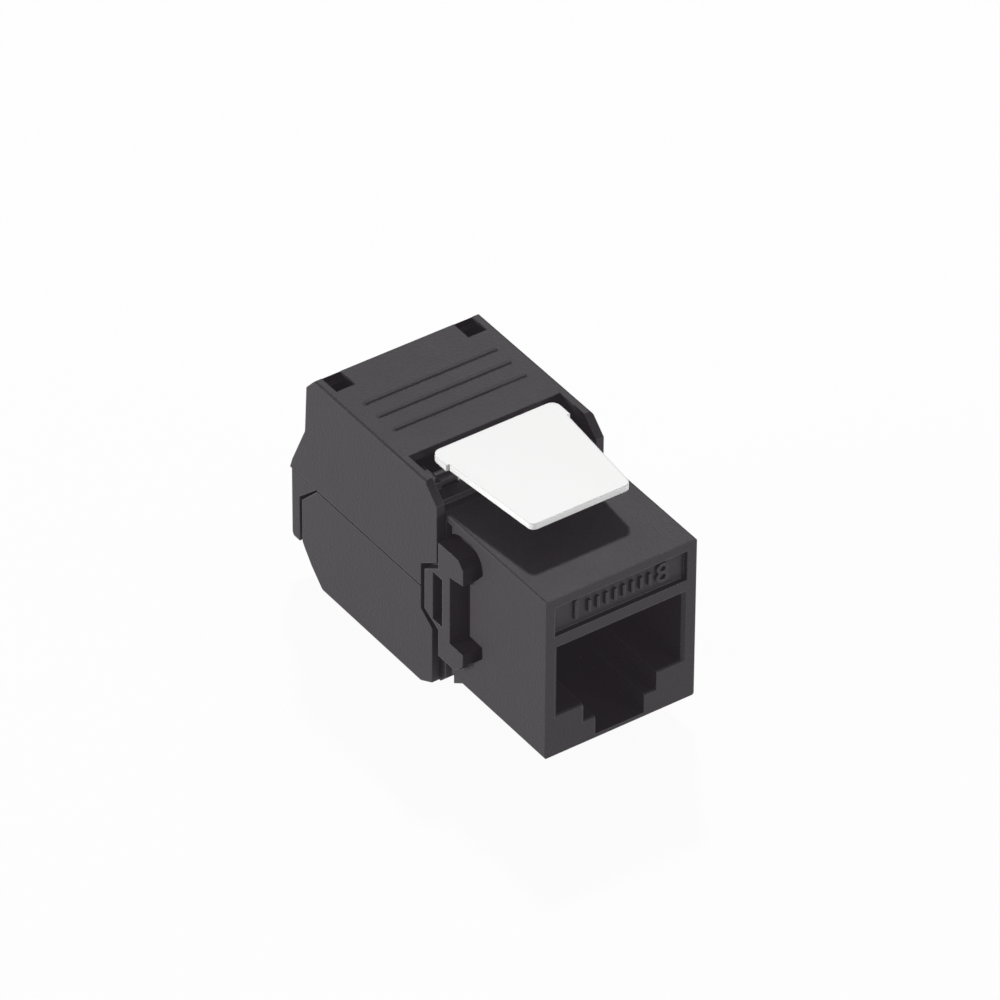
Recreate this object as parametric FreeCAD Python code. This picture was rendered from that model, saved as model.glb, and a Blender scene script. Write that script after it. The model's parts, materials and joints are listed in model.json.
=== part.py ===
import FreeCAD, Part
import math
import os

# Unshielded keystone jack with eight contacts and two hinged termination covers.
# Millimetres. While it is modelled, Y runs from the port face to the cable end, Z is up from
# the underside of the port housing and X = 0 is the mid plane. At export the origin moves to
# the bottom centre of the whole jack.

V = FreeCAD.Vector
ALONG_X = V(1, 0, 0)
ALONG_Y = V(0, 1, 0)
ALONG_Z = V(0, 0, 1)

# Front housing: the standard keystone face, with the plug port in it.
housing_width = 14.7
housing_height = 16.0
housing_length = 13.95
side_wall_setback = 0.9         # the side walls stop this far short of the roof
side_wall_top = 0.7             # and end this far under it
edge_round = 0.2
port_width = 12.2
bay_step = 0.1                  # each side of the bay behind the port is this much narrower
port_floor = 4.0
port_roof_drop = 4.95           # under the housing's roof
port_depth = 11.5
ledge_width = 7.2
ledge_floor = 2.2
notch_width = 4.8
notch_floor = 0.35
mouth_flare = 0.3
mouth_depth = 0.25
ledge_round = 0.3               # on the front edges of the four ledges
label_width = 12.9
label_height = 2.95
label_depth = 0.5
label_above_port = 1.1
face_wall = 1.5
roof_wall = 1.2                 # of the housing, over the contact carrier
bay_floor = 0.95
pocket_depth = 1.0
pocket_margin = 1.6             # how far the side pocket runs past the clip inside it
pocket_step = 0.1               # and a little more at its web and its upper nose
pocket_low_margin = 0.6         # under the clip
pocket_heel = 0.4               # height of the low nose's heel in the pocket
pocket_web_drop = 0.35
pocket_shoulder = (0.75, 0.35)  # middle of the arc that rounds the pocket's upper front corner
pocket_crown = 2.3              # from the pocket's front to the top of its crown
pocket_fall = (3.6, 0.2)        # middle of the arc that falls from the crown to the rear
pocket_tail = (1.55, 0.9)       # where that arc ends, before the rear and under the crown
lug_length = 2.0
lug_drop = 1.1
lug_tip = 0.3
lug_setback = 0.35

# Core: the fixed moulding behind the housing that holds the board and the wire contacts.
seam = 0.1
side_plate = 1.1
core_short = 4.45               # the core block ends this far before the covers do
foot_drop = 1.8                 # of the core's foot under the housing, in front of the covers
foot_nose = 0.75
foot_length = 2.5
stair_rise = 0.5
stair_run = 0.9
cheek_rise = 1.2
cheek_start = 2.25              # from the core's front face to the cheeks
cheek_end = 4.85
tower_tip = 8.0                 # from the middle of the board to the end of a tower
deck_thickness = 3.0
wire_slot_width = 1.3
wire_slot_depth = 4.4
tower_width = 3.1
tower_length = 4.2
chamber_length = 3.3
clip_nose_reach = 3.7           # of the clip's noses before the core's front face
clip_web_reach = 1.85
clip_lap = 1.7                  # behind that face
clip_low = 1.9
clip_high = 13.5
clip_nose_height = 2.2
clip_bevel = 0.65
clip_low_bevel = 1.1
clip_waist = 0.45               # from each nose to the waist behind it
clip_lead = 0.25                # the waist starts this far before the core
clip_low_slope = 1.0
clip_high_slope = 1.25
clip_low_lip = 0.1
clip_high_lip = 0.3
clip_slot_width = 1.35
clip_slot_margin = 1.05
clip_slot_low = 1.1             # from the low nose to the slot
clip_slot_high = 1.25
clip_slot_depth = 0.6           # into the core behind the clip
foot_margin = 0.55              # of core under the bosses of the lower hinge
foot_wall = 0.8
chamber_wall = 0.5
tail_low_length = 1.35          # of the cradle's underside
tail_slope = 2.45               # the cradle's top starts this far before its underside
tail_shoulder = 2.2             # under the parting height
tail_drop = 6.8
tail_bevel = 0.5
tail_round = 0.4
tail_gap = 0.4
rail_rise = 0.9
rail_gap = 0.1

# Circuit board, lying flat at the height where the two covers part.
board_middle = 8.1
board_thickness = 1.2
board_short = 2.15              # the board is this much shorter than the core
board_clearance = 0.05
board_setback = 0.3             # behind the core's front face
board_end_gap = 0.4

# Contacts.
contact_count = 8
contact_pitch = 1.02
wire_radius = 0.23
wire_sides = 8                  # the drawn wire is eight-sided, and so are the board's holes
hole_sides = 8
bend_radius = 1.1
contact_slope = 24.0
contact_run_height = 2.35       # over the roof of the port
contact_tail_rows = (1.15, 2.35)
contact_tail_bend = 0.6
contact_tail_length = 0.4       # under the board
contact_nose = 1.7              # from the face wall to the wires' front bends
contact_tip_lap = 0.5           # how far the tips reach into the comb
groove_clearance = 0.06
carrier_gap = 0.2               # beside the port and behind it
carrier_foot_gap = 0.1
carrier_rise = 0.75             # of its ribs over the middle of the wires
comb_depth = 1.0
comb_rise = 1.0                 # from the port's floor to the comb's slots
blade_thickness = 0.5
blade_width = 1.9
blade_reach = 7.1               # from the middle of the board to the blade's tip
blade_slot = 0.36
blade_slot_depth = 3.6
blade_tail_width = 0.7
blade_tail_lap = 0.1
blade_shoulder = (0.2, 0.6)     # bevel at each tip of the fork
blade_entry = 0.7               # depth of the slot's flared mouth
blade_gap = 0.05
idc_columns = (-4.65, -1.55, 1.55, 4.65)
idc_rows = (11.0, 7.45, 7.45, 11.0)  # from the core's front face, one for each column

# Covers: two thin shells that part at one height and hinge near their front ends.
cover_stand_out = 0.83          # of each cover's sides over the housing's
cover_wall = 0.76
core_side_gap = 0.17            # between the core's sides and the covers
cover_rise = 2.53               # of the upper cover over the housing
cover_drop = 2.5                # of the lower cover under the housing
parting_height = 7.5
parting_gap = 0.07              # from the parting height to the edge of each cover
cover_length = 21.2
plate_front = 5.1               # from the core's front face to the top plate
upper_nose_run = 1.7
upper_nose_drop = 1.6
upper_plate_end = 3.65          # before the cover's rear end, as the next three are
upper_bevel = (2.55, 1.23)      # where the bevel behind the top plate ends, and how far down
upper_shoulder = (2.3, 5.53)    # where the upright rear wall ends, and how far down
upper_heel = (2.25, 5.93)
upper_skirt = (0.35, 1.0)       # where the slope to the cable ends, and how far up
lower_plate_front = 4.0
lower_front_setback = 0.65
lower_chin = (2.0, 1.0)         # bevel under the front of the arms
lower_shoulder = (2.2, 2.3)     # slope over the cradle's shoulder
lower_heel = ((0.0, 0.9), (0.3, 0.45), (1.3, -0.8))
lower_plate_end = 3.1           # before the cover's rear end
clip_gap = 0.55
arm_slope = 1.0                 # the arms' edges follow the clip's waist
arm_bevel = 0.15
arm_throat = 1.5                # of the upper arm under the clip's upper nose
window_size = 1.87
window_length = 2.3
window_inset = 3.5              # from the cover's rear end
lower_window_inset = 3.4
rib_height = 0.15
rib_radius = 0.3
rib_length = 13.0
rib_places = (3.5, 5.65, 7.7)   # behind the top plate's front edge
presser_width = 1.1
presser_length = 3.6
presser_entry = 0.6             # how far a presser reaches into its tower's slot
cover_edge_round = 0.3

# Hinges of the covers: round bosses on the core's sides snap into recesses in the arms.
pin_radius = 0.65
pin_clearance = 0.05
recess_depth = 0.5
pin_end_gap = 0.08
upper_pin_y = 1.25              # behind the core's front face
upper_pin_drop = 0.5            # under the housing's roof
lower_pin_y = 2.15
lower_pin_height = 1.6

# Cable entry, halved by the parting of the upper cover and the core's tail.
cable_radius = 3.2
sleeve_wall = 0.9
sleeve_gap = 0.4                # to the lower cover
cable_room_length = 4.0
web_end = 2.9                   # before the cover's rear end
sleeve_start = 3.25             # before the cover's rear end
sleeve_end = 1.95

# Latch: the white spring tab on the roof.
latch_length = 12.4
latch_end = 3.9                 # behind the core's front face
latch_front_width = 9.64
latch_rear_width = 11.8
latch_root_width = 12.1
latch_root_length = 2.15
latch_root_round = 0.8
latch_stem_width = 8.8
latch_stem_setback = 0.7
latch_stem_slope = 0.6
latch_stem_gap = 0.3            # over the housing's roof
latch_lift = 2.5                # of its underside over the housing's roof
latch_thickness = 0.6
latch_round = 0.6
latch_pin_radius = 0.4
latch_pin_height = 0.65         # over the housing's roof
latch_pin_place = 3.25          # behind the core's front face
latch_pin_reach = 0.55          # into each cheek of the core

# Places that follow from the sizes above.
half_cover = housing_width / 2 + cover_stand_out
inner_cover = half_cover - cover_wall
half_core = inner_cover - core_side_gap
inner_core = half_core - side_plate
core_front = housing_length + seam
port_roof = housing_height - port_roof_drop
clip_nose_front = core_front - clip_nose_reach
clip_web_front = core_front - clip_web_reach
clip_rear = core_front + clip_lap
latch_rear = core_front + latch_end
latch_front = latch_rear - latch_length
latch_pin_y = core_front + latch_pin_place
cover_top = housing_height + cover_rise
cover_rear = core_front + cover_length
core_rear = cover_rear - core_short
board_length = core_rear - core_front - board_short
sleeve_front = cover_rear - sleeve_start
sleeve_rear = cover_rear - sleeve_end
upper_edge = parting_height + parting_gap
lower_edge = parting_height - parting_gap
bay_roof = housing_height - roof_wall
board_top = board_middle + board_thickness / 2
board_bottom = board_middle - board_thickness / 2
upper_pin = (core_front + upper_pin_y, housing_height - upper_pin_drop)
lower_pin = (core_front + lower_pin_y, lower_pin_height)
notch_rear = clip_rear + clip_gap
notch_top = clip_high - clip_nose_height
cover_plate_front = core_front + plate_front
latch_top = housing_height + latch_lift + latch_thickness
origin_shift = V(0, -cover_rear / 2, cover_drop)


def box(x0, x1, y0, y1, z0, z1):
    return Part.makeBox(x1 - x0, y1 - y0, z1 - z0, V(x0, y0, z0))


def outline(steps):
    """Closed wire in the plane X = 0. A step is (y, z) for a line or (y, z, y, z) for an arc."""
    edges = []
    here = V(0, *steps[0])
    for step in list(steps[1:]) + [steps[0]]:
        end = V(0, *step[-2:])
        if len(step) == 4:
            edges.append(Part.Arc(here, V(0, *step[:2]), end).toShape())
        elif end.distanceToPoint(here) > 1e-6:
            edges.append(Part.LineSegment(here, end).toShape())
        here = end
    return Part.Wire(edges)


def slab(steps, x0, x1):
    """The outline as a solid from x0 to x1."""
    face = Part.Face(outline(steps))
    face.translate(V(x0, 0, 0))
    return face.extrude(V(x1 - x0, 0, 0))


def plan(points, z0, z1):
    """A polygon of (x, y) points as a solid from z0 to z1."""
    ring = [V(x, y, z0) for x, y in points]
    return Part.Face(Part.makePolygon(ring + ring[:1])).extrude(V(0, 0, z1 - z0))


def rod_x(y, z, radius, x0, x1):
    return Part.makeCylinder(radius, x1 - x0, V(x0, y, z), V(1, 0, 0))


def rod_y(x, z, radius, y0, y1):
    return Part.makeCylinder(radius, y1 - y0, V(x, y0, z), V(0, 1, 0))


def mirrored(shape):
    return shape.mirror(V(0, 0, 0), V(1, 0, 0))


def both_sides(shape):
    return [shape, mirrored(shape)]


def join(first, others):
    return first.fuse(others).removeSplitter()


def cut(shape, tools):
    return shape.cut(tools).removeSplitter()


def soften(shape, radius, axes, test):
    """Round the straight edges that run along one of the axes and whose ends pass the test."""
    edges = []
    for edge in shape.Edges:
        if len(edge.Vertexes) == 2 and isinstance(edge.Curve, Part.Line):
            run = edge.Vertexes[1].Point - edge.Vertexes[0].Point
            straight = any(abs(run.dot(axis)) > 0.999 * run.Length for axis in axes)
            if straight and all(test(vertex.Point) for vertex in edge.Vertexes):
                edges.append(edge)
    return shape.makeFillet(radius, edges)


def near(a, b):
    return abs(a - b) < 1e-4


def clip_outline():
    """Side clip: a ladder-shaped plate with a nose at each end that points to the port."""
    nose_low = clip_low + clip_nose_height
    nose_high = clip_high - clip_nose_height
    waist_low = nose_low + clip_waist
    waist_high = nose_high - clip_waist
    throat = core_front - clip_lead
    return [
        (throat, clip_low), (throat, waist_low), (clip_rear, waist_low + clip_low_slope),
        (clip_rear, waist_high - clip_high_slope), (throat, waist_high), (throat, clip_high),
        (clip_nose_front + clip_bevel, clip_high), (clip_nose_front, clip_high - clip_bevel),
        (clip_nose_front, nose_high), (clip_web_front, nose_high - clip_high_lip),
        (clip_web_front, nose_low + clip_low_lip), (clip_nose_front, nose_low + clip_low_lip),
        (clip_nose_front, clip_low + clip_low_bevel), (clip_nose_front + clip_low_bevel, clip_low),
    ]


def pocket_outline():
    """Recess in the housing's side that the clip's noses lie in, open to the rear."""
    front = clip_nose_front - pocket_margin
    web = clip_web_front - pocket_margin - pocket_step
    nose_low = clip_low + clip_nose_height
    nose_high = clip_high - clip_nose_height
    low = clip_low - pocket_low_margin
    top = clip_high + pocket_margin
    wall_top = housing_height - side_wall_top
    rear = housing_length + 1
    heel = nose_low + pocket_heel
    shoulder_run, shoulder_drop = pocket_shoulder
    fall_run, fall_drop = pocket_fall
    tail_run, tail_fall = pocket_tail
    return [
        (rear, low), (front + heel - low, low), (front, heel),
        (front, nose_low + pocket_margin), (web, nose_low + pocket_margin),
        (web, nose_high - pocket_web_drop), (front, nose_high + pocket_margin + pocket_step),
        (front + shoulder_run, top - shoulder_drop, front + pocket_crown, top),
        (front + fall_run, top - fall_drop, rear - tail_run, top - tail_fall),
        (rear - tail_run, wall_top), (rear, wall_top),
    ]


def front_housing():
    half = housing_width / 2
    body = box(-half, half, 0, housing_length, 0, housing_height)
    body = soften(body, edge_round, [ALONG_Y], lambda p: True)
    lug_rear = housing_length - lug_setback
    lug = slab([
        (lug_rear, 0), (lug_rear, -lug_drop), (lug_rear - lug_tip, -lug_drop),
        (lug_rear - lug_length, 0),
    ], -half + edge_round, half - edge_round)
    body = join(body, [lug])
    port_half = port_width / 2
    port = box(-port_half, port_half, -1, port_depth, port_floor, port_roof)
    ledge = box(-ledge_width / 2, ledge_width / 2, -1, port_depth, ledge_floor, port_floor + 0.1)
    notch = box(-notch_width / 2, notch_width / 2, -1, port_depth, notch_floor, port_floor)
    flare = plan([
        (-port_half - mouth_flare, 0), (-port_half, mouth_depth),
        (port_half, mouth_depth), (port_half + mouth_flare, 0),
    ], port_floor, port_roof)
    bay_half = port_half - bay_step
    rear_bay = box(-bay_half, bay_half, port_depth - 0.05, housing_length + 1, bay_floor, bay_roof)
    roof_bay = box(-bay_half, bay_half, face_wall, housing_length + 1, port_roof - 0.1, bay_roof)
    label_low = port_roof + label_above_port
    label = box(-label_width / 2, label_width / 2, -1, label_depth,
                label_low, label_low + label_height)
    side_end = housing_length - side_wall_setback
    setback = box(half - pocket_depth, half + 1, side_end, housing_length + 1,
                  -lug_drop - 1, housing_height - side_wall_top)
    pocket = slab(pocket_outline(), half - pocket_depth, half + 1)
    tools = [port, ledge, notch, flare, rear_bay, roof_bay, label]
    tools += both_sides(setback) + both_sides(pocket)
    steps = (port_floor, ledge_floor)
    return soften(cut(body, tools), ledge_round, [ALONG_X],
                  lambda p: near(p.y, 0) and any(near(p.z, step) for step in steps))


def idc_places():
    """X and Y of each wire contact in one row."""
    return [(x, core_front + row) for x, row in zip(idc_columns, idc_rows)]


def tower(x, y, up):
    """A post with a slot along Y for the wire; up is 1 above the board and -1 below it."""
    base = board_middle + up * (board_thickness / 2 + deck_thickness - 0.1)
    tip = board_middle + up * tower_tip
    low, high = sorted((base, tip))
    post = box(x - tower_width / 2, x + tower_width / 2,
               y - tower_length / 2, y + tower_length / 2, low, high)
    slot_low, slot_high = sorted((tip - up * wire_slot_depth, tip + up))
    slot = box(x - wire_slot_width / 2, x + wire_slot_width / 2,
               y - tower_length, y + tower_length, slot_low, slot_high)
    return post.cut(slot)


def blade_cavity(x, y, up):
    low, high = sorted((board_middle, board_middle + up * (tower_tip + 1)))
    half_width = blade_width / 2 + blade_gap
    half_depth = blade_thickness / 2 + blade_gap
    return box(x - half_width, x + half_width, y - half_depth, y + half_depth, low, high)


def core_block():
    deck_high = board_top + deck_thickness
    deck_low = board_bottom - deck_thickness
    tower_high = board_middle + tower_tip
    tower_low = board_middle - tower_tip
    cheek_front = core_front + cheek_start
    cheek_rear = core_front + cheek_end
    cheek_top = housing_height + cheek_rise
    foot = lower_pin[1] - pin_radius - foot_margin
    foot_rear = core_front + foot_length
    side_view = [
        (core_front, foot_nose - foot_drop), (core_front, housing_height),
        (core_front + stair_run, housing_height),
        (core_front + stair_run, housing_height + stair_rise),
        (cheek_front, housing_height + stair_rise), (cheek_front, cheek_top),
        (cheek_rear, cheek_top), (cheek_rear, tower_high), (core_rear, tower_high),
        (core_rear, tower_low), (cheek_rear, tower_low), (cheek_rear, foot),
        (foot_rear + foot_nose, foot), (foot_rear, -foot_drop),
        (core_front + foot_nose, -foot_drop),
    ]
    core = slab(side_view, -half_core, half_core)
    chamber_half = inner_core - chamber_wall
    chamber = box(-chamber_half, chamber_half, core_front - 1, core_front + chamber_length,
                  foot + foot_wall, bay_roof)
    latch_well = box(-inner_core, inner_core, cheek_front, cheek_rear + 0.05,
                     housing_height, cheek_top + 1)
    over_deck = box(-inner_core, inner_core, cheek_rear, core_rear + 1, deck_high, cheek_top + 1)
    under_deck = box(-inner_core, inner_core, cheek_rear, core_rear + 1, tower_low - 1, deck_low)
    core = cut(core, [chamber, latch_well, over_deck, under_deck])
    towers = [tower(x, y, up) for x, y in idc_places() for up in (1, -1)]
    clips = both_sides(slab(clip_outline(), housing_width / 2 - pocket_depth + 0.1, half_cover))
    boss_end = inner_cover + recess_depth - pin_end_gap
    bosses = []
    for place in (upper_pin, lower_pin):
        bosses += both_sides(rod_x(place[0], place[1], pin_radius, half_core - 0.1, boss_end))
    core = join(core, towers + clips + bosses + [core_tail()])
    board_room = box(-inner_core, inner_core, core_front - 1,
                     core_front + board_length + board_end_gap,
                     board_bottom - board_clearance, board_top + board_clearance)
    slot_front = clip_web_front + clip_slot_margin
    clip_slot = box(inner_core - clip_slot_depth, half_cover + 1,
                    slot_front, slot_front + clip_slot_width,
                    clip_low + clip_nose_height + clip_slot_low,
                    clip_high - clip_nose_height - clip_slot_high)
    latch_hole = rod_x(latch_pin_y, housing_height + latch_pin_height,
                       latch_pin_radius + pin_clearance, inner_core - 1,
                       inner_core + latch_pin_reach + pin_end_gap)
    tools = [board_room] + both_sides(clip_slot) + both_sides(latch_hole)
    tools += [blade_cavity(x, y, up) for x, y in idc_places() for up in (1, -1)]
    return cut(core, tools)


def tail_front():
    """Where the core's tail begins, low on the jack and at the parting height."""
    low = cover_rear - tail_low_length
    return low, low - tail_slope


def core_tail():
    """The cradle under the cable, carried on two rails inside the covers."""
    low_y, high_y = tail_front()
    bottom = parting_height - tail_drop
    shoulder = parting_height - tail_shoulder
    block = slab([
        (high_y, parting_height), (cover_rear, parting_height),
        (cover_rear, bottom + tail_bevel), (cover_rear - tail_bevel, bottom),
        (low_y, bottom), (low_y, shoulder),
    ], -half_cover, half_cover)
    block = soften(block, tail_round, [ALONG_Z], lambda p: near(p.y, cover_rear))
    sleeve = rod_y(0, parting_height, cable_radius + sleeve_wall, sleeve_front, low_y + 0.1)
    upper_half = box(-half_cover, half_cover, sleeve_front - 1, cover_rear + 1,
                     parting_height, cover_top)
    bore = rod_y(0, parting_height, cable_radius, sleeve_front - 1, cover_rear + 1)
    rail = box(inner_core + rail_gap, half_core, core_rear - 0.1, low_y + 0.1,
               shoulder + rail_rise, parting_height)
    return cut(join(block, [sleeve] + both_sides(rail)), [upper_half, bore])


def upper_outline():
    rear = [(cover_rear - run, cover_top - drop)
            for run, drop in (upper_bevel, upper_shoulder, upper_heel)]
    throat = notch_top - arm_throat
    return [
        (core_front, notch_top), (core_front, cover_top - upper_nose_drop),
        (core_front + upper_nose_run, cover_top), (cover_rear - upper_plate_end, cover_top),
        *rear, (cover_rear - upper_skirt[0], upper_edge + upper_skirt[1]),
        (cover_rear, upper_edge), (notch_rear, upper_edge),
        (notch_rear, throat), (notch_rear - arm_bevel, throat + 0.1),
    ]


def lower_outline():
    rear = tail_front()[0] - tail_gap
    front = core_front + lower_front_setback
    chin_run, chin_rise = lower_chin
    shoulder_run, shoulder_drop = lower_shoulder
    throat = clip_low + clip_nose_height
    heel = [(rear - run, height) for run, height in lower_heel]
    return [
        (front, -cover_drop + chin_rise), (front, throat),
        (notch_rear - arm_bevel, throat + arm_slope),
        (notch_rear, throat + arm_slope + arm_bevel), (notch_rear, lower_edge),
        (rear - shoulder_run, lower_edge), (rear, parting_height - shoulder_drop),
        *heel, (rear - lower_plate_end, -cover_drop), (front + chin_run, -cover_drop),
    ]


def shell(steps, opening):
    """The outline as a full-width solid, hollowed to the wall and opened along one direction."""
    solid = slab(steps, -half_cover, half_cover)
    inside = outline(steps).makeOffset2D(-cover_wall, 2)
    inside = Part.Face(inside)
    inside.translate(V(-inner_cover, 0, 0))
    inside = inside.extrude(V(2 * inner_cover, 0, 0))
    through = inside.copy()
    through.translate(opening * (2 * cover_wall))
    return solid, [inside, through]


def hinge_recesses(place):
    """Blind holes in the inner faces of a cover's arms, which the core's bosses turn in."""
    return both_sides(rod_x(place[0], place[1], pin_radius + pin_clearance,
                            inner_cover - 0.1, inner_cover + recess_depth))


def upper_cover():
    cover, inside = shell(upper_outline(), V(0, 0, -1))
    cover = soften(cover, cover_edge_round, [ALONG_Y],
                   lambda p: near(p.z, cover_top) and near(abs(p.x), half_cover))
    front_open = box(-inner_cover, inner_cover, core_front - 1, cover_plate_front,
                     upper_edge - 1, cover_top + 1)
    window_rear = cover_rear - window_inset
    window = box(inner_cover - window_size, inner_cover, window_rear - window_length,
                 window_rear, cover_top - cover_wall - 0.1, cover_top + 1)
    cover = cut(cover, inside + [front_open] + both_sides(window))
    ribs = [rod_x(cover_plate_front + place, cover_top + rib_height - rib_radius, rib_radius,
                  -rib_length / 2, rib_length / 2) for place in rib_places]
    slot_mouth = board_middle + tower_tip
    pressers = [box(x - presser_width / 2, x + presser_width / 2,
                    y - presser_length / 2, y + presser_length / 2,
                    slot_mouth - presser_entry, cover_top - cover_wall + 0.1)
                for x, y in idc_places()]
    sleeve = rod_y(0, parting_height, cable_radius + sleeve_wall, sleeve_front, sleeve_rear)
    lower_half = box(-half_cover, half_cover, sleeve_front - 1, cover_rear + 1,
                     parting_height - tail_drop, upper_edge)
    web = box(-sleeve_wall / 2, sleeve_wall / 2, sleeve_front, cover_rear - web_end,
              parting_height + cable_radius, cover_top - 3 * cover_wall)
    bore = rod_y(0, parting_height, cable_radius, sleeve_front - 1, cover_rear + 1)
    cover = join(cover, ribs + pressers + [sleeve, web])
    return cut(cover, [lower_half, bore] + hinge_recesses(upper_pin))


def lower_cover():
    cover, inside = shell(lower_outline(), V(0, 0, 1))
    cover = soften(cover, cover_edge_round, [ALONG_Y],
                   lambda p: near(p.z, -cover_drop) and near(abs(p.x), half_cover))
    plate_start = core_front + lower_plate_front
    front_open = box(-inner_cover, inner_cover, core_front - 1, plate_start,
                     -cover_drop - 1, lower_edge + 1)
    rear = tail_front()[0] - tail_gap
    cable_room = rod_y(0, parting_height, cable_radius + sleeve_wall + sleeve_gap,
                       rear - cable_room_length, rear + 1)
    window_rear = rear - lower_window_inset
    window = box(inner_cover - window_size, inner_cover, window_rear - window_length,
                 window_rear, -cover_drop - 1, -cover_drop + cover_wall + 0.1)
    cover = cut(cover, inside + [front_open, cable_room] + both_sides(window))
    slot_mouth = board_middle - tower_tip
    pressers = [box(x - presser_width / 2, x + presser_width / 2,
                    y - presser_length / 2, y + presser_length / 2,
                    -cover_drop + cover_wall - 0.1, slot_mouth + presser_entry)
                for x, y in idc_places()]
    return cut(join(cover, pressers), hinge_recesses(lower_pin))


def latch_tab():
    """Tapered tab on a stem, with a cross pin that turns between the core's cheeks."""
    under = housing_height + latch_lift
    front_half = latch_front_width / 2
    rear_half = latch_rear_width / 2
    root_half = latch_root_width / 2
    root_front = latch_rear - latch_root_length
    tab = plan([
        (-front_half, latch_front), (front_half, latch_front),
        (rear_half, latch_rear - latch_root_round), (-rear_half, latch_rear - latch_root_round),
    ], under, latch_top)
    tab = soften(tab, latch_round, [ALONG_Z], lambda p: near(p.y, latch_front))
    root = box(-root_half, root_half, root_front, latch_rear, under, latch_top)
    root = soften(root, latch_root_round, [ALONG_Z], lambda p: near(p.y, latch_rear))
    stem_front = root_front + latch_stem_setback
    foot = housing_height + latch_stem_gap
    stem = slab([
        (root_front, under + 0.1), (root_front, under),
        (stem_front, under - latch_stem_slope), (stem_front, foot),
        (latch_rear, foot), (latch_rear, under + 0.1),
    ], -latch_stem_width / 2, latch_stem_width / 2)
    pin_end = inner_core + latch_pin_reach
    pin = rod_x(latch_pin_y, housing_height + latch_pin_height, latch_pin_radius,
                -pin_end, pin_end)
    return join(tab, [root, stem, pin])


def round_edges(centre, radius, sides):
    """Polygon round a point, flat sides square to X and Y, as wide across as the circle."""
    corner = radius / math.cos(math.pi / sides)
    angles = [(2 * k + 1) * math.pi / sides for k in range(sides)]
    ring = [centre + V(math.cos(a), math.sin(a), 0) * corner for a in angles]
    return Part.makePolygon(ring + ring[:1]).Edges


def drilled(x, y, radius):
    """A hole through the board."""
    ring = Part.Wire(round_edges(V(x, y, board_bottom - 1), radius, hole_sides))
    return Part.Face(ring).extrude(V(0, 0, board_thickness + 2))


def contact_x(index):
    return (index - (contact_count - 1) / 2) * contact_pitch


def contact_carrier():
    """Comb that holds the spring contacts: a grooved deck over the port and a slotted wall."""
    half = port_width / 2 - carrier_gap
    back = port_depth + carrier_gap
    foot = bay_floor + carrier_foot_gap
    run = port_roof + contact_run_height
    top = run + carrier_rise
    groove = wire_radius + groove_clearance
    nose = face_wall + contact_nose
    under_run = run - groove
    inner_bend = bend_radius - groove
    deck_low = run - 2 * bend_radius + groove
    deck = slab([
        (nose, under_run), (nose - inner_bend, run - bend_radius, nose, deck_low),
        (back, deck_low), (back, foot), (housing_length, foot),
        (housing_length, top), (nose, top),
    ], -half, half)
    grooves = []
    for index in range(contact_count):
        x = contact_x(index)
        grooves.append(box(x - groove, x + groove, 0, housing_length + 1, under_run, bay_roof))
        grooves.append(box(x - groove, x + groove, port_depth, back + comb_depth,
                           port_floor + comb_rise, deck_low))
    return cut(deck, grooves)


def circuit_board():
    half = inner_core - board_clearance
    front = core_front + board_setback
    board = box(-half, half, front, front + board_length, board_bottom, board_top)
    holes = []
    for index in range(contact_count):
        tail_y = core_front + contact_tail_rows[index % 2]
        holes.append(drilled(contact_x(index), tail_y, wire_radius + groove_clearance))
    for x, y in idc_places():
        for side in (1, -1):
            tail = x + side * blade_width / 4
            holes.append(drilled(tail, y, blade_tail_width / 2 + groove_clearance))
    return cut(board, holes)


def wire_contact(x, y, up):
    """Flat fork with a slot that bites the wire, and a tail through the board beside it."""
    half = blade_width / 2
    lip = blade_slot
    shoulder_run, shoulder_drop = blade_shoulder
    seat = board_thickness / 2 + blade_tail_lap
    tail_low = up * blade_width / 4 - blade_tail_width / 2 + blade_tail_lap
    tail_high = up * blade_width / 4 + blade_tail_width / 2 - blade_tail_lap
    mouth = blade_reach - blade_entry
    root = blade_reach - blade_slot_depth
    ring = [
        (tail_low, -board_thickness / 2), (tail_high, -board_thickness / 2),
        (tail_high, seat), (half, seat), (half, blade_reach - shoulder_drop),
        (half - shoulder_run, blade_reach), (lip, blade_reach), (lip / 2, mouth),
        (lip / 2, root), (-lip / 2, root), (-lip / 2, mouth), (-lip, blade_reach),
        (-half + shoulder_run, blade_reach), (-half, blade_reach - shoulder_drop),
        (-half, seat), (tail_low, seat),
    ]
    points = [V(x + px, y - blade_thickness / 2, board_middle + up * pz) for px, pz in ring]
    face = Part.Face(Part.makePolygon(points + points[:1]))
    return face.extrude(V(0, blade_thickness, 0))


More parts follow.
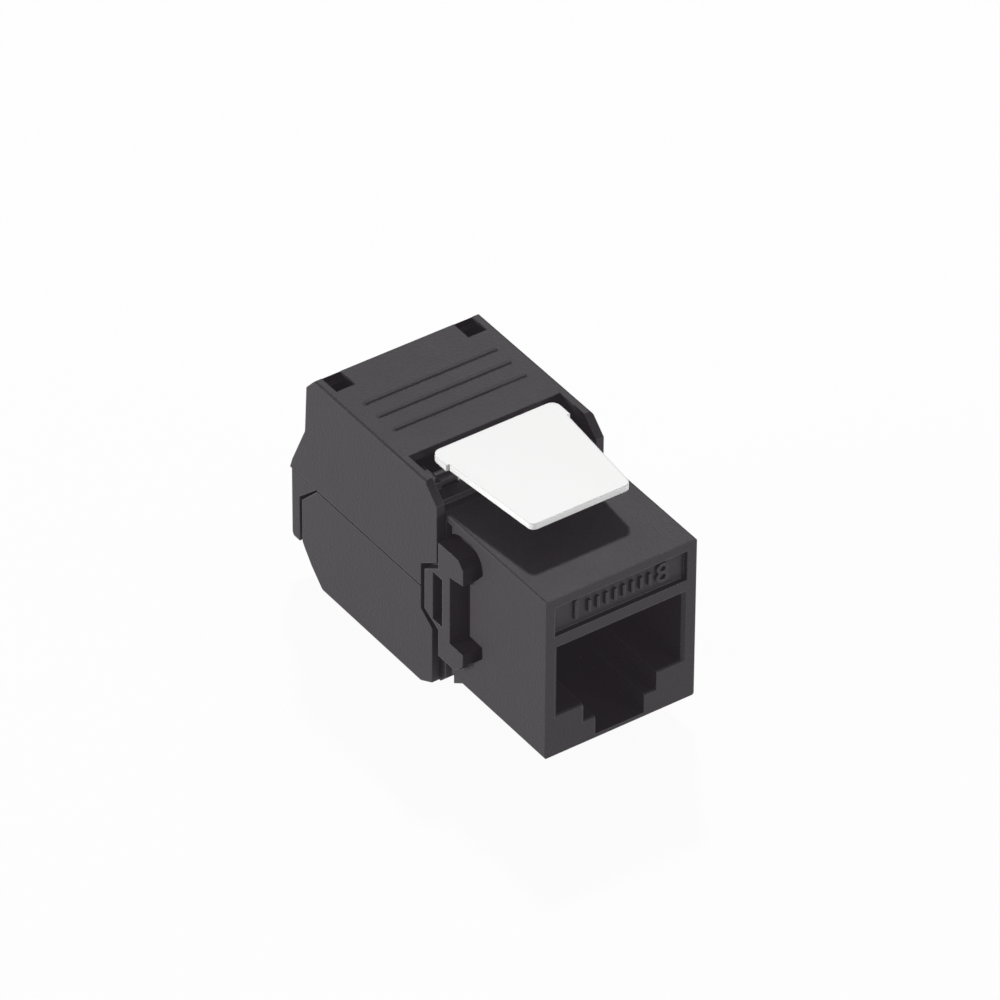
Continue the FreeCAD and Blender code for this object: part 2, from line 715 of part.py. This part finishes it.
def spring_contact(index):
    """Round wire: tail in the board, run over the carrier, bend at the front, sprung slope."""
    x = contact_x(index)
    row = contact_tail_rows[index % 2]
    run = port_roof + contact_run_height
    tail_y = core_front + row
    bend_y = face_wall + contact_nose
    slope = math.radians(contact_slope)
    centre = V(x, bend_y, run - bend_radius)
    front = centre + V(0, -bend_radius, 0)
    leave = centre + V(0, -math.sin(slope), -math.cos(slope)) * bend_radius
    reach = (port_depth + contact_tip_lap - leave.y) / math.cos(slope)
    tip = leave + V(0, math.cos(slope), -math.sin(slope)) * reach
    foot = V(x, tail_y, board_bottom - contact_tail_length)
    knee_low = V(x, tail_y, run - contact_tail_bend)
    knee_high = V(x, tail_y - contact_tail_bend, run)
    corner = contact_tail_bend * (1 - math.sqrt(0.5))
    knee = V(x, tail_y - corner, run - corner)
    path = Part.Wire([
        Part.LineSegment(foot, knee_low).toShape(),
        Part.Arc(knee_low, knee, knee_high).toShape(),
        Part.LineSegment(knee_high, V(x, bend_y, run)).toShape(),
        Part.Arc(V(x, bend_y, run), front, leave).toShape(),
        Part.LineSegment(leave, tip).toShape(),
    ])
    section = Part.Wire(round_edges(foot, wire_radius, wire_sides))
    return path.makePipeShell([section], True, False)


def main():
    os.makedirs("parts", exist_ok=True)
    for name, shape in nodes().items():
        moved = shape.copy()
        moved.translate(origin_shift)
        moved.exportStep("parts/" + name + ".step")
        print(name, len(moved.Solids), moved.isValid(), round(moved.Volume, 2))


def nodes():
    made = {
        "front_housing": front_housing(),
        "core_block": core_block(),
        "upper_cover": upper_cover(),
        "lower_cover": lower_cover(),
        "latch_tab": latch_tab(),
        "contact_carrier": contact_carrier(),
        "circuit_board": circuit_board(),
    }
    for index in range(contact_count):
        made["spring_contact_%d" % (index + 1)] = spring_contact(index)
    for number, (x, y) in enumerate(idc_places(), 1):
        made["upper_wire_contact_%d" % number] = wire_contact(x, y, 1)
        made["lower_wire_contact_%d" % number] = wire_contact(x, y, -1)
    return made


main()
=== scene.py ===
import json
import math

import bmesh
import bpy
from mathutils import Matrix, Vector


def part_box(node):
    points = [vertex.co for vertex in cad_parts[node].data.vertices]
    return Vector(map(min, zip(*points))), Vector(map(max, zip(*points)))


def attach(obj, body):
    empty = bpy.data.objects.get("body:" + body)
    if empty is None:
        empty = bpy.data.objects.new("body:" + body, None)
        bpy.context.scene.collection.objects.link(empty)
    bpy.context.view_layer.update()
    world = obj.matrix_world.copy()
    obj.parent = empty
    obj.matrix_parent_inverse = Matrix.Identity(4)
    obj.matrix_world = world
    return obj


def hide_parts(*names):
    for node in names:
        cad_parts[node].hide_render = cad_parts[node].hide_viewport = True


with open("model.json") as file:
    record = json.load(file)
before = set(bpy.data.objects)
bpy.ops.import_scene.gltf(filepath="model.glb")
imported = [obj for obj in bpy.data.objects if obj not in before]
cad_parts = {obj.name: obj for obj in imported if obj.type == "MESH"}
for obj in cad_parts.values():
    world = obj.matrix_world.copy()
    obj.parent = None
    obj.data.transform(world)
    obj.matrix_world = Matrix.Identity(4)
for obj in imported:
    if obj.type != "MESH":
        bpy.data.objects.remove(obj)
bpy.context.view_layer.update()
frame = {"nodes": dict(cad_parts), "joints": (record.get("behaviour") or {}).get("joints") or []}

# The jack stands on its lower cover: metres, +Z up, the plug port faces -Y.
mm = 0.001

# Studio camera. It looks from the port side, 35 degrees round to the left and 38 degrees up,
# through a long lens, so that the jack keeps nearly parallel edges.
view_azimuth = -35.083
view_elevation = 38.21
view_distance = 758.4 * mm
view_roll = 0.33
aim_point = Vector((0.0, -2.425, 10.6)) * mm
frame_shift_left = 0.987 * mm   # from the aim point to the middle of the frame
frame_shift_up = 4.124 * mm
lens_length = 337.6             # millimetres, on a frame 36 mm wide
azimuth = math.radians(view_azimuth)
elevation = math.radians(view_elevation)
toward_camera = Vector((math.sin(azimuth) * math.cos(elevation),
                        -math.cos(azimuth) * math.cos(elevation), math.sin(elevation)))
view_right = Vector((math.cos(azimuth), math.sin(azimuth), 0.0))
view_up = toward_camera.cross(view_right)
frame_centre = aim_point - frame_shift_left * view_right + frame_shift_up * view_up
camera_data = bpy.data.cameras.new("studio_camera")
camera_data.lens = lens_length
camera_data.sensor_width = 36.0
camera_data.clip_start = 0.05
camera_data.clip_end = 20.0
camera = bpy.data.objects.new("studio_camera", camera_data)
bpy.context.collection.objects.link(camera)
camera.location = aim_point + toward_camera * view_distance
look = (frame_centre - camera.location).normalized()
camera.rotation_mode = "QUATERNION"
level = look.to_track_quat("-Z", "Y")
camera.rotation_quaternion = level @ Matrix.Rotation(
    math.radians(view_roll), 3, "Z").to_quaternion()
bpy.context.scene.camera = camera
bpy.context.scene.view_settings.view_transform = "Standard"

# Studio light. One small bright lamp behind the right shoulder gives the crisp shadow of the
# latch, two lamps fill the left side and the port face, and a pale room fills the rest.
world = bpy.data.worlds.new("studio_room")
bpy.context.scene.world = world
world.use_nodes = True
room = world.node_tree
room.nodes.clear()
room_light = room.nodes.new("ShaderNodeBackground")
room_light.inputs["Color"].default_value = (1.0, 1.0, 1.0, 1.0)
room_light.inputs["Strength"].default_value = 0.25
room_seen = room.nodes.new("ShaderNodeBackground")
room_seen.inputs["Color"].default_value = (1.0, 1.0, 1.0, 1.0)
room_seen.inputs["Strength"].default_value = 1.0
room_path = room.nodes.new("ShaderNodeLightPath")
room_mix = room.nodes.new("ShaderNodeMixShader")
room_out = room.nodes.new("ShaderNodeOutputWorld")
room.links.new(room_path.outputs["Is Camera Ray"], room_mix.inputs["Fac"])
room.links.new(room_light.outputs["Background"], room_mix.inputs[1])
room.links.new(room_seen.outputs["Background"], room_mix.inputs[2])
room.links.new(room_mix.outputs["Shader"], room_out.inputs["Surface"])


def lamp(name, travel, distance, size, power):
    """A square lamp whose light travels along the given direction towards the jack."""
    data = bpy.data.lights.new(name, "AREA")
    data.size = size
    data.energy = power
    holder = bpy.data.objects.new(name, data)
    bpy.context.collection.objects.link(holder)
    heading = Vector(travel).normalized()
    holder.location = aim_point - heading * distance
    holder.rotation_mode = "QUATERNION"
    holder.rotation_quaternion = heading.to_track_quat("-Z", "Y")


lamp("key_lamp", (-1.2, -1.75, -2.6), 0.7, 0.05, 2.65)
lamp("left_lamp", (1.0, -0.45, -0.05), 0.7, 0.2, 5.5)
lamp("front_lamp", (-0.45, 0.89, -0.05), 0.7, 0.12, 2.1)

# Front housing. The fixed moulding with the plug port and the label recess: black ABS out of
# a spark-eroded tool, so that its faces are finely pitted and its edges a little smoother, with
# a painted highlight on them. The core block snaps on behind it.


class Strand:
    """A shader socket: arithmetic on it adds Math nodes, and make() adds any other node."""

    def __init__(self, tree, socket=None):
        self.tree = tree
        self.socket = socket

    def make(self, kind, output=0, settings=None, **sockets):
        """A node of that kind: settings, then values or links of its sockets by name or n0."""
        node = self.tree.nodes.new(kind)
        for name, value in (settings or {}).items():
            setattr(node, name, value)
        for name, value in sockets.items():
            target = node.inputs[int(name[1:]) if name[0] == "n" else name]
            if isinstance(value, Strand):
                self.tree.links.new(value.socket, target)
            else:
                target.default_value = value
        return Strand(self.tree, node.outputs[output])

    def math(self, operation, first, second):
        return self.make("ShaderNodeMath", settings={"operation": operation},
                         n0=first, n1=second)

    def __add__(self, other):
        return self.math("ADD", self, other)

    def __sub__(self, other):
        return self.math("SUBTRACT", self, other)

    def __rsub__(self, other):
        return self.math("SUBTRACT", other, self)

    def __mul__(self, other):
        return self.math("MULTIPLY", self, other)



cloud_scale = 260.0             # about 4 mm from cloud to cloud
cloud_gloss = 0.08              # how much the roughness changes from cloud to cloud
edge_radius = 0.14 * mm
# The edge constants below set a smoother finish on edges and also a painted highlight that
# lightens the colour of every edge.
edge_gain = 6.0                 # how soon a turned face counts as an edge
highlight_share = 0.8                # of the lighter tone on a sharp edge
highlight_lift = 0.35               # of the polish share that lightens the edge colour, as a painted highlight


def surface(name, colour, roughness, tint=0.07, grain=4200.0, depth=0.01 * mm, polish_and_highlight=0.2,
            metal=0.0, shine=0.5, painted_glow=0.0):
    """A pitted or drawn surface with faint clouds of tone and smoother edges that carry a
    painted highlight.

    The painted glow is a weak even emission: painted light that keeps the deepest shade from
    going quite black."""
    material = bpy.data.materials.new(name)
    material.use_nodes = True
    shader = material.node_tree.nodes["Principled BSDF"]
    shader.inputs["Metallic"].default_value = metal
    shader.inputs["IOR"].default_value = 1.46
    shader.inputs["Specular IOR Level"].default_value = shine
    # Painted glow: the surface emits a little of its own colour, painted light that lifts the
    # deepest shade.
    shader.inputs["Emission Color"].default_value = [c * painted_glow for c in colour] + [1.0]
    shader.inputs["Emission Strength"].default_value = 1.0
    strand = Strand(material.node_tree)
    place = strand.make("ShaderNodeTexCoord", output="Object")
    pits = strand.make("ShaderNodeTexNoise", Vector=place, Scale=grain, Detail=2.0,
                       Roughness=0.6)
    clouds = strand.make("ShaderNodeTexNoise", Vector=place, Scale=cloud_scale, Detail=3.0)
    rounded = strand.make("ShaderNodeBevel", settings={"samples": 6}, Radius=edge_radius)
    flat = strand.make("ShaderNodeNewGeometry", output="True Normal")
    facing = strand.make("ShaderNodeVectorMath", output="Value",
                         settings={"operation": "DOT_PRODUCT"}, n0=rounded, n1=flat)
    edge = strand.make("ShaderNodeMath", settings={"operation": "MULTIPLY", "use_clamp": True},
                       n0=1.0 - facing, n1=edge_gain)
    dark = [c * (1.0 - tint) for c in colour] + [1.0]
    light = [c * (1.0 + tint) for c in colour] + [1.0]
    # Painted highlight: on edges the colour is lifted towards white, by the share of polish
    # given above.
    edge_highlight_colour = [c + (1.0 - c) * polish_and_highlight * highlight_lift for c in colour] + [1.0]
    body = strand.make("ShaderNodeMix", output=2, settings={"data_type": "RGBA"},
                       n0=clouds, n6=dark, n7=light)
    shade = strand.make("ShaderNodeMix", output=2, settings={"data_type": "RGBA"},
                        n0=edge * highlight_share, n6=body, n7=edge_highlight_colour)
    gloss = clouds * cloud_gloss + (roughness - cloud_gloss / 2) - edge * polish_and_highlight
    bump = strand.make("ShaderNodeBump", Strength=0.6, Distance=depth, Height=pits,
                       Normal=rounded)
    for socket, value in (("Base Color", shade), ("Roughness", gloss), ("Normal", bump)):
        strand.tree.links.new(value.socket, shader.inputs[socket])
    return material


def clothe(node, material):
    """Gives a CAD node its finish."""
    for place in frame["nodes"][node].material_slots:
        place.material = material


black = (0.0245, 0.0205, 0.0245)
black_shine = 0.28
# The black mouldings carry this painted glow, so that their deepest shade never goes fully
# black.
black_painted_glow = 0.55
housing_black = surface("housing_abs", black, 0.55, depth=0.07 * mm, shine=black_shine,
                        painted_glow=black_painted_glow)
clothe("front_housing", housing_black)

# Label marks. Raised in the label recess over the port: the numbers of the first and the last
# contact, with eight ticks between them for the contacts, moulded in one with the housing.
label_drop = 2.38 * mm          # from the housing's roof to the middle of the marks
label_depth = 0.5 * mm
mark_height = 1.9 * mm
mark_relief = 0.3 * mm
mark_lap = 0.04 * mm            # the marks reach this far into the recess's floor
numeral_reach = 4.2 * mm        # from the middle to the middle of each numeral
tick_pitch = 0.84 * mm
tick_count = 8
tick_width = 0.26 * mm
tick_height = 1.14 * mm
font_height = 0.7               # of a numeral, in sizes of its font
weld_distance = 0.0005 * mm
housing_low, housing_high = (Vector(corner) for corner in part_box("front_housing"))
label_middle = Vector(((housing_low.x + housing_high.x) / 2, housing_low.y + label_depth,
                       housing_high.z - label_drop))


def row_tree():
    """Nodes that repeat one piece along a line and give the row its material."""
    tree = bpy.data.node_groups.new("even_row", "GeometryNodeTree")
    sockets = {}
    for name, kind in (("Piece", "Geometry"), ("Count", "Int"), ("Step", "Vector"),
                       ("Finish", "Material")):
        made = tree.interface.new_socket(name, in_out="INPUT", socket_type="NodeSocket" + kind)
        sockets[name] = made.identifier
    tree.interface.new_socket("Row", in_out="OUTPUT", socket_type="NodeSocketGeometry")
    entry = tree.nodes.new("NodeGroupInput")
    line = tree.nodes.new("GeometryNodeMeshLine")
    spread = tree.nodes.new("GeometryNodeInstanceOnPoints")
    solid = tree.nodes.new("GeometryNodeRealizeInstances")
    paint = tree.nodes.new("GeometryNodeSetMaterial")
    leave = tree.nodes.new("NodeGroupOutput")
    for source, target in (
            (entry.outputs["Count"], line.inputs["Count"]),
            (entry.outputs["Step"], line.inputs["Offset"]),
            (line.outputs["Mesh"], spread.inputs["Points"]),
            (entry.outputs["Piece"], spread.inputs["Instance"]),
            (spread.outputs["Instances"], solid.inputs["Geometry"]),
            (solid.outputs["Geometry"], paint.inputs["Geometry"]),
            (entry.outputs["Finish"], paint.inputs["Material"]),
            (paint.outputs["Geometry"], leave.inputs["Row"])):
        tree.links.new(source, target)
    return tree, sockets


row_nodes, row_sockets = row_tree()


def finished(name, mesh, material):
    """The object of a finished mesh, at the origin, with merged corners and outward faces."""
    tidy = bmesh.new()
    tidy.from_mesh(mesh)
    bmesh.ops.remove_doubles(tidy, verts=tidy.verts, dist=weld_distance)
    bmesh.ops.recalc_face_normals(tidy, faces=tidy.faces)
    tidy.to_mesh(mesh)
    tidy.free()
    mesh.name = name
    mesh.materials.clear()
    mesh.materials.append(material)
    piece = bpy.data.objects.new(name, mesh)
    bpy.context.collection.objects.link(piece)
    return piece


def mesh_of(holder):
    """The evaluated mesh of a helper object, which is then removed."""
    bpy.context.view_layer.update()
    graph = bpy.context.evaluated_depsgraph_get()
    mesh = bpy.data.meshes.new_from_object(holder.evaluated_get(graph))
    bpy.data.objects.remove(holder)
    return mesh


def row_of(name, mesh, count, step, material):
    """The mesh repeated along a line by the row nodes, as one finished object."""
    holder = bpy.data.objects.new(name + "_maker", mesh)
    bpy.context.collection.objects.link(holder)
    modifier = holder.modifiers.new("row", "NODES")
    modifier.node_group = row_nodes
    modifier[row_sockets["Count"]] = count
    modifier[row_sockets["Step"]] = step
    modifier[row_sockets["Finish"]] = material
    return finished(name, mesh_of(holder), material)


def block_mesh(name, low, high):
    """A closed box between two corners."""
    maker = bmesh.new()
    bmesh.ops.create_cube(maker, size=1.0)
    for vertex in maker.verts:
        vertex.co = Vector(l + (c + 0.5) * (h - l) for l, c, h in zip(low, vertex.co, high))
    mesh = bpy.data.meshes.new(name)
    maker.to_mesh(mesh)
    maker.free()
    return mesh


def numeral(text, across):
    """A raised numeral on the recess's floor."""
    data = bpy.data.curves.new("numeral_" + text, "FONT")
    data.body = text
    data.size = mark_height / font_height
    data.align_x = "CENTER"
    data.align_y = "CENTER"
    data.extrude = (mark_relief + mark_lap) / 2
    holder = bpy.data.objects.new(data.name, data)
    bpy.context.collection.objects.link(holder)
    mesh = mesh_of(holder)
    middle = label_middle + Vector((across, (mark_lap - mark_relief) / 2, 0.0))
    mesh.transform(Matrix.Translation(middle) @ Matrix.Rotation(math.radians(90.0), 4, "X"))
    return finished("label_numeral_" + text, mesh, housing_black)


label_pieces = [numeral("1", -numeral_reach), numeral("8", numeral_reach)]
first_tick = label_middle + Vector((-(tick_count - 1) / 2 * tick_pitch, 0.0, 0.0))
tick_mesh = block_mesh(
    "tick", first_tick + Vector((-tick_width / 2, -mark_relief, -tick_height / 2)),
    first_tick + Vector((tick_width / 2, mark_lap, tick_height / 2)))
label_pieces.append(row_of("label_ticks", tick_mesh, tick_count, (tick_pitch, 0.0, 0.0),
                           housing_black))
for piece in label_pieces:
    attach(piece, "jack")

# Core block. The fixed moulding behind the housing that holds the board, the wire towers and
# the rear half of the clips, from the same black ABS.
core_black = surface("core_abs", black, 0.55, depth=0.07 * mm, shine=black_shine,
                     painted_glow=black_painted_glow)
clothe("core_block", core_black)

# Latch bearings. Two short sleeves on the inner faces of the core's cheeks carry the latch's
# cross pin close to its stem. They are moulded in one with the core.
pin_radius = 0.4 * mm
bearing_clearance = 0.05 * mm
bearing_wall = 0.2 * mm
bearing_inner_end = 4.6 * mm    # from the mid plane
bearing_outer_end = 6.2 * mm
bearing_foot = 0.7 * mm         # under the pin's axis
bearing_sides = 40
latch_joint = next(j for j in frame["joints"] if j["name"] == "latch_press")


def bearing(name, inner, outer, axis_y, axis_z):
    """A sleeve along X on a foot that runs down from its sides."""
    hole = pin_radius + bearing_clearance
    reach = hole + bearing_wall
    maker = bmesh.new()
    rings = []
    for across in (inner, outer):
        for radius in (hole, reach):
            ring = []
            for step in range(bearing_sides):
                angle = 2 * math.pi * step / bearing_sides
                rise = radius * math.sin(angle)
                run = radius * math.cos(angle)
                if radius == reach and rise < 0:
                    run = math.copysign(reach, run)
                    rise = -bearing_foot
                ring.append(maker.verts.new((across, axis_y + run, axis_z + rise)))
            rings.append(ring)
    for first, second in ((0, 1), (1, 3), (3, 2), (2, 0)):
        for step in range(bearing_sides):
            after = (step + 1) % bearing_sides
            maker.faces.new((rings[first][step], rings[first][after],
                             rings[second][after], rings[second][step]))
    mesh = bpy.data.meshes.new(name)
    maker.to_mesh(mesh)
    maker.free()
    return finished(name, mesh, core_black)


axis = Vector(latch_joint["pos_m"])
for side, reach in (("left", -1), ("right", 1)):
    sleeve = bearing("latch_bearing_" + side, reach * bearing_inner_end,
                     reach * bearing_outer_end, axis.y, axis.z)
    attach(sleeve, "jack")

# Covers. Two thin shells that hinge on the core's round bosses and press the wires into the
# towers as they close: the same black ABS, from a second tool with a slightly drier grain.
cover_black = surface("cover_abs", black, 0.56, depth=0.075 * mm, shine=black_shine,
                      painted_glow=black_painted_glow)
clothe("upper_cover", cover_black)
clothe("lower_cover", cover_black)

# Latch tab. A smooth white acetal moulding that snaps between the core's cheeks by its cross
# pin and springs up under a plate's edge.
latch_white = surface("latch_acetal", (0.95, 0.95, 0.945), 0.35, tint=0.01, depth=0.002 * mm,
                      polish_and_highlight=0.05)
clothe("latch_tab", latch_white)

# Contact carrier. The smooth black comb inside the port that spaces the sprung wires; it
# slides into the housing from behind, together with the board.
carrier_black = surface("carrier_abs", black, 0.45, depth=0.005 * mm, shine=black_shine,
                        painted_glow=black_painted_glow)
clothe("contact_carrier", carrier_black)

# Circuit board. Green glass laminate with a solder mask, held in the core's slot.
board_green = surface("board_laminate", (0.02, 0.14, 0.07), 0.35, depth=0.003 * mm)
clothe("circuit_board", board_green)

# Wire contacts. Forked blades stamped from phosphor bronze with a tin flash, pressed into the
# board above and below and standing in the towers' slots.
tin_bronze = surface("contact_tin", (0.72, 0.64, 0.52), 0.32, depth=0.001 * mm, metal=1.0)
for node in frame["nodes"]:
    if "wire_contact_" in node:
        clothe(node, tin_bronze)

# Spring contacts. Eight round gold-plated wires soldered into the board in two staggered
# rows; each runs forward over the carrier, bends down at the face and slopes back.
wire_radius = 0.23 * mm
knee_radius = 0.6 * mm
bend_radius = 1.1 * mm
contact_slope = 24.0
tip_short = 3.2 * mm            # the tips end this far before the nearer row of tails
tail_reach = 0.4 * mm           # under the board
contact_count = 8
gold = surface("contact_gold", (0.93, 0.70, 0.33), 0.3, depth=0.001 * mm, metal=1.0)


def turn(middle, radius, start, end, steps):
    """Points (y, z) along an arc, by angle from +Y towards +Z."""
    points = []
    for step in range(steps + 1):
        angle = math.radians(start + (end - start) * step / steps)
        points.append((middle[0] + radius * math.cos(angle),
                       middle[1] + radius * math.sin(angle)))
    return points


def bent_wire(name, across, front, top, tail, foot, tip):
    """The closed mesh of one contact in the plane X = across, with its flat ends."""
    path = [(tail, foot)]
    path += turn((tail - knee_radius, top - knee_radius), knee_radius, 0.0, 90.0, 8)
    path += turn((front + bend_radius, top - bend_radius), bend_radius, 90.0,
                 270.0 - contact_slope, 20)
    leave_y, leave_z = path[-1]
    path.append((tip, leave_z - (tip - leave_y) * math.tan(math.radians(contact_slope))))
    data = bpy.data.curves.new(name, "CURVE")
    data.dimensions = "3D"
    data.bevel_depth = wire_radius
    data.bevel_resolution = 6
    data.use_fill_caps = True
    spline = data.splines.new("POLY")
    spline.points.add(len(path) - 1)
    for point, (along, rise) in zip(spline.points, path):
        point.co = (across, along, rise, 1.0)
    holder = bpy.data.objects.new(name, data)
    bpy.context.collection.objects.link(holder)
    return mesh_of(holder)


board_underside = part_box("circuit_board")[0].z
nearer_tail = min(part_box("spring_contact_%d" % n)[1].y for n in (1, 2)) - wire_radius
for row, first in (("odd", 1), ("even", 2)):
    nodes = ["spring_contact_%d" % n for n in range(first, contact_count + 1, 2)]
    low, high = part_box(nodes[0])
    last_low, last_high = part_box(nodes[-1])
    wire = bent_wire("contact_wire_" + row, (low.x + high.x) / 2, low.y + wire_radius,
                     high.z - wire_radius, high.y - wire_radius,
                     board_underside - tail_reach, nearer_tail - tip_short)
    pitch = (last_low.x - low.x) / (len(nodes) - 1)
    contacts = row_of("spring_contacts_" + row, wire, len(nodes), (pitch, 0.0, 0.0), gold)
    contacts.data.shade_smooth()
    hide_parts(*nodes)
    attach(contacts, "jack")

# Floor. A pale plain sheet of paper under the jack; to the camera it is nearly as bright as
# the room behind it, but it keeps the soft shadow.
floor_reach = 3.0               # metres from the jack to each edge
floor_seen = 0.95               # how far it is lit like the room, to the camera
floor_mesh = bpy.data.meshes.new("floor")
floor_maker = bmesh.new()
bmesh.ops.create_grid(floor_maker, x_segments=1, y_segments=1, size=floor_reach)
floor_maker.to_mesh(floor_mesh)
floor_maker.free()
floor_paper = bpy.data.materials.new("floor_paper")
floor_paper.use_nodes = True
floor_strand = Strand(floor_paper.node_tree)
floor_shader = floor_paper.node_tree.nodes["Principled BSDF"]
floor_shader.inputs["Base Color"].default_value = (0.9, 0.9, 0.9, 1.0)
floor_shader.inputs["Roughness"].default_value = 0.9
straight = floor_strand.make("ShaderNodeLightPath", output="Is Camera Ray")
shiny = floor_strand.make("ShaderNodeLightPath", output="Is Glossy Ray")
clear = floor_strand.make("ShaderNodeLightPath", output="Is Transmission Ray")
lit = floor_strand.make("ShaderNodeEmission", Color=(1.0, 1.0, 1.0, 1.0), Strength=1.0)
paper = Strand(floor_strand.tree, floor_shader.outputs["BSDF"])
blend = floor_strand.make("ShaderNodeMixShader", n0=(straight + shiny + clear) * floor_seen,
                          n1=paper, n2=lit)
floor_strand.tree.links.new(
    blend.socket, floor_strand.tree.nodes["Material Output"].inputs["Surface"])
floor_mesh.materials.append(floor_paper)
floor = bpy.data.objects.new("floor", floor_mesh)
bpy.context.collection.objects.link(floor)
